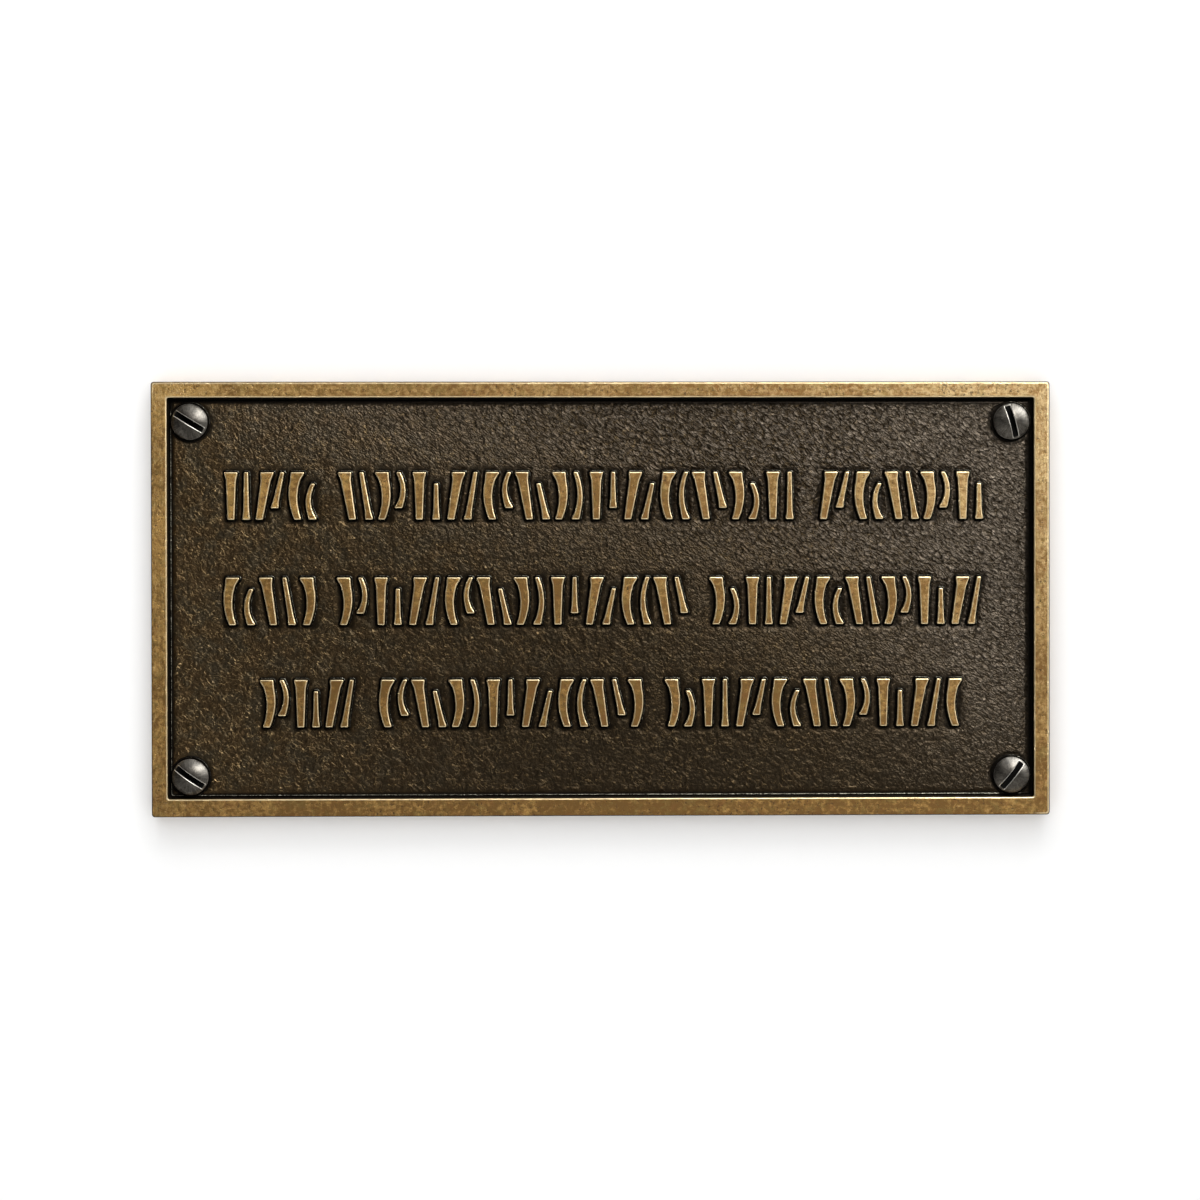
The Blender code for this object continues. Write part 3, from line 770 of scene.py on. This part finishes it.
def opennessAt(x, z, strokes):
    # 0 beside the rim, the screws and the strokes, 1 in the open ground
    fromSide = np.minimum(x - pocketLeft, pocketRight - x)
    fromRim = np.minimum(fromSide, np.minimum(z - pocketBottom, pocketTop - z))
    clear = smoothStep(fromRim, 1.2, 2.8)
    least = groundPlan["besideScrew"]
    for middleX, middleZ, _ in screwPlaces.values():
        fromScrew = np.hypot(x - middleX, z - middleZ)
        clear = np.minimum(clear, least + (1 - least) * smoothStep(fromScrew, 6.9, 8.0))
    near = np.full(x.shape, np.inf)
    for middleX, foot, top, width, _, lean, _ in strokes:
        t = np.clip((z - foot) / (top - foot), 0.0, 1.0)
        sideways = np.abs(x - middleX - lean * (t - 0.5)) - width / 2
        beyond = np.maximum(np.maximum(foot - z, z - top), 0.0)
        near = np.minimum(near, np.hypot(np.maximum(sideways, 0.0), beyond))
    least = groundPlan["besideStroke"]
    return np.minimum(clear, least + (1 - least) * smoothStep(near, 0.6, 3.0))


def makeGround(strokes):
    plan = groundPlan
    columns = round((pocketRight - pocketLeft) / plan["cell"])
    rows = round((pocketTop - pocketBottom) / plan["cell"])
    under = plan["underRim"]
    x, z = np.meshgrid(np.linspace(pocketLeft - under, pocketRight + under, columns),
                       np.linspace(pocketBottom - under, pocketTop + under, rows))
    openness = opennessAt(x, z, strokes)
    # wrinkles: winding ridges whose place is first bent by broader hills, broken up by others, on a
    # gentle swell
    bentX = x + 3.0 * (hills(x, z, 5.0, 11) - 0.5) + 1.4 * (hills(x, z, 2.1, 12) - 0.5)
    bentZ = z + 3.0 * (hills(x, z, 5.0, 13) - 0.5) + 1.4 * (hills(x, z, 2.1, 14) - 0.5)
    coarse = ridges(bentX, bentZ * 1.15, 2.9, 15, 3.6)
    coarse = coarse * smoothStep(hills(x, z, 2.3, 18), 0.34, 0.60)
    fine = ridges(bentX, bentZ * 1.15, 1.6, 16, 2.4)
    fine = fine * smoothStep(hills(x, z, 1.7, 19), 0.36, 0.60)
    # towards the upper right the skin turns into short scales that run down to the right
    slant = smoothStep(x + 2.2 * z, -60.0, 190.0)
    turn = np.radians(plan["slantDegrees"])
    straightX, straightZ = x * 0.6 + bentX * 0.4, z * 0.6 + bentZ * 0.4
    along = straightX * np.cos(turn) + straightZ * np.sin(turn)
    across = straightZ * np.cos(turn) - straightX * np.sin(turn)
    scales = hills(along * 0.45, across, 1.05, 20)
    pebbles = hills(bentX, bentZ, 1.05, 21)
    swell = 0.5 * (hills(x, z, 13.0, 17) - 0.5) + hills(bentX, bentZ, 4.6, 22) - 0.5
    # some patches are nearly smooth, others full of wrinkles
    size = plan["patchSize"]
    busy = smoothStep(hills(x, z, size, 23) * 0.6 + hills(x, z, size / 3, 24) * 0.4, 0.38, 0.60)
    busy = np.maximum(plan["calm"] + (1 - plan["calm"]) * busy, slant)
    crest = busy * np.maximum(coarse, 0.8 * fine) * (1 - slant)
    crest = crest + slant * smoothStep(scales, 0.45, 0.8)
    rise = busy * (plan["wrinkle"] * coarse + plan["fineWrinkle"] * fine)
    rise += slant * plan["scales"] * (scales - 0.5) + (1 - slant) * plan["pebble"] * (pebbles - 0.5)
    rise = plate["ground"] - plan["sink"] + openness * rise
    rise += plan["swell"] * swell * smoothStep(openness, 0.0, 0.6)
    slopeZ, slopeX = np.gradient(rise, z[1, 0] - z[0, 0], x[0, 1] - x[0, 0])
    normals = np.stack([-slopeX, -np.ones_like(x), -slopeZ], axis=-1)
    normals /= np.linalg.norm(normals, axis=-1, keepdims=True)
    points = toWorld(x, rise, z)
    marks = {"openness": openness, "crest": crest, "slant": slant, "busy": busy}
    # in strips, so that no mesh grows too large
    edges = np.linspace(0, columns - 1, plan["strips"] + 1).astype(int)
    for strip, (first, last) in enumerate(zip(edges[:-1], edges[1:] + 1)):
        cut = np.s_[:, first:last]
        meshPiece(f"sunkGround_{strip + 1}", points[cut].reshape(-1, 3),
                  gridQuads(rows, last - first), {mark: marks[mark][cut] for mark in marks},
                  patina, ["plaque"], normals=normals[cut].reshape(-1, 3))


# Seats and screws

seatPlan = {"radius": 6.7, "rise": 0.45, "facets": 72}
screwPlan = {
    "headRadius": 6.0, "edgeHeight": 0.8, "domeRise": 2.6, "crownPower": 2.3, "crownWear": 0.07,
    "edgeWidth": 0.24, "edgeDrop": 0.07, "underheadGap": 0.3,
    "shankRadius": 3.0, "shankChamfer": 0.1,
    "slotHalf": 0.92, "slotDepth": 2.0, "slotChamfer": 0.24, "slotEnd": 5.60,
    "highlightLeft": 0.15, "highlightRight": 0.30,
}


def turnedRings(section, count, middleX, middleZ):
    # the section's radius and rise carried once round an axis that points at the viewer
    angle = np.linspace(0.0, 2 * np.pi, count, endpoint=False)
    x = middleX + section[:, :1] * np.cos(angle)
    z = middleZ + section[:, :1] * np.sin(angle)
    return toWorld(x, section[:, 1:2], z).reshape(-1, 3)


def makeSeats():
    ground, radius, rise = plate["ground"], seatPlan["radius"], seatPlan["rise"]
    # the section inwards: radius, rise, rub and edge wear (on the seat's edge, a painted glint)
    section = np.array([
        [radius + 0.50, ground - 0.15, 0.0, 0.0],
        [radius + 0.20, ground - 0.02, 0.0, 0.0],
        [radius + 0.02, ground + 0.06, 0.0, 0.0],
        [radius - 0.02, ground + rise - 0.14, 0.1, 0.2],
        [radius - 0.07, ground + rise - 0.03, 0.1, 0.9],
        [radius - 0.18, ground + rise, 0.1, 0.4],
        [radius - 0.34, ground + rise, 0.0, 0.0],
        [5.00, ground + rise, 0.0, 0.0],
        [plate["holeRadius"] + plate["holeChamfer"], ground + rise, 0.0, 0.0],
        [plate["holeRadius"], ground + rise - plate["holeChamfer"], 0.0, 0.0],
        [plate["holeRadius"], ground - 0.50, 0.0, 0.0],
    ])
    count, seats = seatPlan["facets"], len(screwPlaces)
    points = np.concatenate([turnedRings(section, count, x, z) for x, z, _ in screwPlaces.values()])
    one = gridQuads(len(section), count, closed=True)
    quads = copiesOf(one, seats, len(section) * count)
    # painted highlight: the glint on the seat's own edge is kept to its upper right
    angle = np.linspace(0.0, 2 * np.pi, count, endpoint=False)
    paintedGlintUpperRight = 0.1 + 0.9 * smoothStep(np.cos(angle - np.pi / 4), 0.0, 0.8)
    marks = {"rub": np.tile(np.repeat(section[:, 2], count), seats),
             "edge": np.tile((section[:, 3:4] * paintedGlintUpperRight).ravel(), seats)}
    meshPiece("screwSeats", points, quads, marks, bronze, ["plaque"])


def makeScrew(name, middleX, middleZ, slope):
    plan = screwPlan
    under = plate["ground"] + seatPlan["rise"] + plan["underheadGap"]
    headRadius = plan["headRadius"]
    crown = plan["edgeHeight"] + plan["domeRise"] - plan["crownWear"]

    def domeAt(radius):
        # a crown that falls off faster towards the edge, and turns down into it at the last
        share = np.minimum(radius, headRadius) / headRadius
        cap = crown - (plan["domeRise"] - plan["crownWear"]) * share ** plan["crownPower"]
        turnsDown = smoothStep(radius, headRadius - plan["edgeWidth"], headRadius)
        return cap - plan["edgeDrop"] * turnsDown ** 2

    # lines across the head, parallel to the slot: distance from its middle, depth below the dome,
    # edge wear and darkening; the slot's chamfers, walls and floor each have their own
    half, chamfer, floor = plan["slotHalf"], plan["slotChamfer"], crown - plan["slotDepth"]
    deep = 9.0  # below any floor, which then stops it
    spacing = 1 - np.cos(np.linspace(np.pi / 2, 0.0, 18))[:-1]
    outer = -(half + chamfer) - (headRadius - half - chamfer) * spacing
    lower = [(y, 0.0, 0.0, 0.0) for y in outer] + [
        (-(half + chamfer), 0.0, 0.6, 0.0),
        (-(half + chamfer * 0.45), 0.10, 1.0, 0.0),
        (-half - 0.01, 0.24, 0.9, 0.0),
        (-half + 0.01, 0.60, 0.0, 1.0),
        (-half + 0.05, deep, 0.0, 1.0),
        (-half * 0.5, deep, 0.0, 1.0),
    ]
    upper = [(-y, drop, edge, darkening) for y, drop, edge, darkening in lower[::-1]]
    across, drop, edge, darkening = np.array(lower + [(0.0, deep, 0.0, 1.0)] + upper).T
    chord = np.sqrt(np.maximum(headRadius ** 2 - across ** 2, 0.0))
    along = np.sin(np.linspace(-np.pi / 2, np.pi / 2, 57))
    u = chord[:, None] * along
    v = np.repeat(across[:, None], len(along), axis=1)
    dome = domeAt(np.hypot(u, v))
    rise = np.maximum(dome - drop[:, None], np.minimum(floor, dome))
    # the slot stops short of the head's edge with a small chamfer of its own
    inSlot = smoothStep(plan["slotEnd"] + 0.12 - np.abs(u), 0.0, 0.24)
    rise = dome - (dome - rise) * inSlot
    cut = smoothStep(dome - rise, 0.0, 0.05)
    atEnd = 4 * inSlot * (1 - inSlot) * smoothStep(half + chamfer - np.abs(v), 0.0, 0.1)
    edgeMark = np.maximum(edge[:, None] * inSlot, atEnd)
    # the head's own edge is a little bare
    atEdge = smoothStep(np.hypot(u, v), headRadius - 0.30, headRadius - 0.08)
    edgeMark = np.maximum(edgeMark, 0.6 * atEdge)
    # darker in the slot's walls and floor, and under the head
    darkMark = darkening[:, None] * cut * (1 - atEnd)

    # the head's edge, its underside and the shank, carried along the head's own outline
    outlineU = np.concatenate([u[:, -1], u[::-1, 0]])
    outlineV = np.concatenate([v[:, -1], v[::-1, 0]])
    # share of the outline, rise above the head's underside, edge wear and darkening
    edgeTop = float(domeAt(np.array(headRadius)))
    shank, shankChamfer = plan["shankRadius"], plan["shankChamfer"]
    section = np.array([
        [1.0, edgeTop, 0.3, 0.0],
        [1.0, edgeTop - 0.1, 0.2, 0.0],
        [1.0, 0.12, 0.0, 0.3],
        [0.985, 0.02, 0.0, 0.6],
        [0.95, 0.0, 0.0, 1.0],
        [shank / headRadius, 0.0, 0.0, 1.0],
        [shank / headRadius, shankChamfer - under, 0.0, 0.3],
        [(shank - shankChamfer) / headRadius, -under, 0.3, 0.0],
        [0.0, -under, 0.0, 0.0],
    ])
    around = len(outlineU)
    quads = np.concatenate([gridQuads(len(across), len(along)),
                            gridQuads(len(section), around, u.size, closed=True)[:, ::-1]])
    share, *others = section.T[:, :, None]
    side = [share * outlineU, share * outlineV] + [np.repeat(mark, around) for mark in others]
    u, v, rise, edge, darkening = (np.concatenate([first.ravel(), second.ravel()])
                              for first, second in zip((u, v, rise, edgeMark, darkMark), side))
    outward = np.hypot(u, v) / headRadius
    # painted highlight: the crown is lighter towards the upper right of the plaque
    towardsCorner = smoothStep(np.cos(np.arctan2(v, u) + np.radians(slope - 50.0)), 0.1, 1.0)
    highlightStrength = plan["highlightRight"] if middleX > 0 else plan["highlightLeft"]
    paintedHighlight = highlightStrength * smoothStep(outward, 0.35, 1.0) * towardsCorner
    distance = np.maximum(outward * headRadius, 0.3)
    marks = {"edge": edge, "darkening": darkening, "outward": outward, "paintedHighlight": paintedHighlight,
             "outX": u / distance, "outZ": v / distance}
    turn = np.radians(slope)
    x = middleX + u * np.cos(turn) - v * np.sin(turn)
    z = middleZ + u * np.sin(turn) + v * np.cos(turn)
    meshPiece(name.replace("screw_", "screwHead_"), toWorld(x, under + rise, z),
              quads, marks, steel, [name], smoothAngle=50.0)


bronze, patina, steel = bronzeMaterial(), groundMaterial(), steelMaterial()
print("materials made")
strokes = allStrokes()
makeRimAndBack()
makeStrokes(strokes)
makeGround(strokes)
makeSeats()
for screwName, (placeX, placeZ, slope) in screwPlaces.items():
    makeScrew(screwName, placeX, placeZ, slope)
print("plaque made")


# Studio: pale wall, pale floor, soft lights and the camera

studio = {
    "wallGap": 0.0003, "wallWindowInset": 0.0012, "reach": 2.4, "floorHeight": -0.62,
    "wallColour": (0.88, 0.88, 0.88, 1.0), "floorColour": (0.80, 0.80, 0.79, 1.0),
    "worldStrength": 0.07, "wallGlow": 0.02, "floorGlow": 0.1, "roughness": 0.95,
    # each light's place, size and power, and what it reaches
    "lights": {
        "keyLight": ((0.40, -0.72, 0.62), 0.36, 13.5, "plaque"),
        "grazingLight": ((0.92, -0.34, 0.77), 0.7, 13.0, "plaque"),
        "overheadLight": ((0.0, -0.45, 1.15), 1.2, 5.0, "plaque"),
        "lightBehind": ((-0.9, 1.7, 1.0), 1.4, 60.0, "plaque"),
        "wallLight": ((0.0, -1.6, 0.5), 3.4, 51.5, "wall"),
        "wallTopLight": ((0.0, -0.35, 1.0), 0.9, 8.0, "wall"),
    },
}
viewPlan = {
    "azimuth": -1.028, "elevation": 0.487, "roll": -0.095, "distance": 0.9537, "lens": 85.0,
    "target": (-0.00043, 0.0, -0.00044),
}


def stageMaterial(name, colour, glow, seeThroughBehind):
    material, wire, _ = startMaterial(name)
    inputs = {"Base Color": colour, "Roughness": studio["roughness"],
              "Emission Color": colour, "Emission Strength": glow}
    surface = wire.node("ShaderNodeBsdfPrincipled", {}, inputs)
    if seeThroughBehind:
        behind = wire.node("ShaderNodeNewGeometry", output="Backfacing")
        clear = wire.node("ShaderNodeBsdfTransparent")
        surface = wire.node("ShaderNodeMixShader", {}, {0: behind, 1: surface, 2: clear})
    wire.show(surface)
    return material


def makeStage():
    reach, floor, y = studio["reach"], studio["floorHeight"], studio["wallGap"]
    inset = studio["wallWindowInset"]
    halfWidth, halfHeight = plate["width"] / 2 * mm - inset, plate["height"] / 2 * mm - inset
    # the wall has a window behind the plate, so that light reaches the plate's back
    xs, zs = [-reach, -halfWidth, halfWidth, reach], [floor, -halfHeight, halfHeight, reach]
    corners = [(x, y, z) for z in zs for x in xs]
    faces = [tuple(face) for face in gridQuads(4, 4).tolist()]
    del faces[4]  # the middle one
    wall = bpy.data.meshes.new("studioWall")
    wall.from_pydata(corners, [], faces)
    wall.materials.append(stageMaterial("paleWall", studio["wallColour"], studio["wallGlow"], True))
    ground = bpy.data.meshes.new("studioFloor")
    square = ((-1, -1), (1, -1), (1, 1), (-1, 1))
    corners = [(right * reach, back * reach, floor) for right, back in square]
    ground.from_pydata(corners, [], [(0, 1, 2, 3)])
    pale = stageMaterial("paleFloor", studio["floorColour"], studio["floorGlow"], False)
    ground.materials.append(pale)
    for mesh in (wall, ground):
        made = bpy.data.objects.new(mesh.name, mesh)
        bpy.context.scene.collection.objects.link(made)
        yield made


def addLight(name, place, size, power, reaches):
    light = bpy.data.lights.new(name, "AREA")
    light.shape = "SQUARE"
    light.size = size
    light.energy = power
    lamp = bpy.data.objects.new(name, light)
    lamp.location = place
    lamp.rotation_euler = (-Vector(place)).to_track_quat("-Z", "Y").to_euler()
    bpy.context.scene.collection.objects.link(lamp)
    # the wall has lights of its own, so that its shade stays soft
    lamp.light_linking.receiver_collection = bpy.data.collections.new(name + "Reach")
    for backdrop in stageObjects:
        lamp.light_linking.receiver_collection.objects.link(backdrop)
    for member in lamp.light_linking.receiver_collection.collection_objects:
        member.light_linking.link_state = "INCLUDE" if reaches == "wall" else "EXCLUDE"


def addCamera():
    plan = viewPlan
    azimuth, elevation = np.radians(plan["azimuth"]), np.radians(plan["elevation"])
    level = np.cos(elevation)
    back = Vector((np.sin(azimuth) * level, -np.cos(azimuth) * level, np.sin(elevation)))
    camera = bpy.data.cameras.new("photoView")
    camera.lens = plan["lens"]
    camera.sensor_width = 36.0
    camera.clip_start, camera.clip_end = 0.05, 20.0
    eye = bpy.data.objects.new("photoView", camera)
    roll = Matrix.Rotation(np.radians(plan["roll"]), 3, "Z")
    aim = (-back).to_track_quat("-Z", "Y").to_matrix() @ roll
    place = Matrix.Translation(Vector(plan["target"]) + back * plan["distance"])
    eye.matrix_world = place @ aim.to_4x4()
    bpy.context.scene.collection.objects.link(eye)
    bpy.context.scene.camera = eye


stageObjects = list(makeStage())
for lightName, lightPlan in studio["lights"].items():
    addLight(lightName, *lightPlan)
world = bpy.data.worlds.new("studioWorld")
world.use_nodes = True
background = world.node_tree.nodes["Background"]
background.inputs["Color"].default_value = (1.0, 1.0, 1.0, 1.0)
background.inputs["Strength"].default_value = studio["worldStrength"]
bpy.context.scene.world = world
bpy.context.scene.view_settings.view_transform = "Standard"
addCamera()
print("studio made")
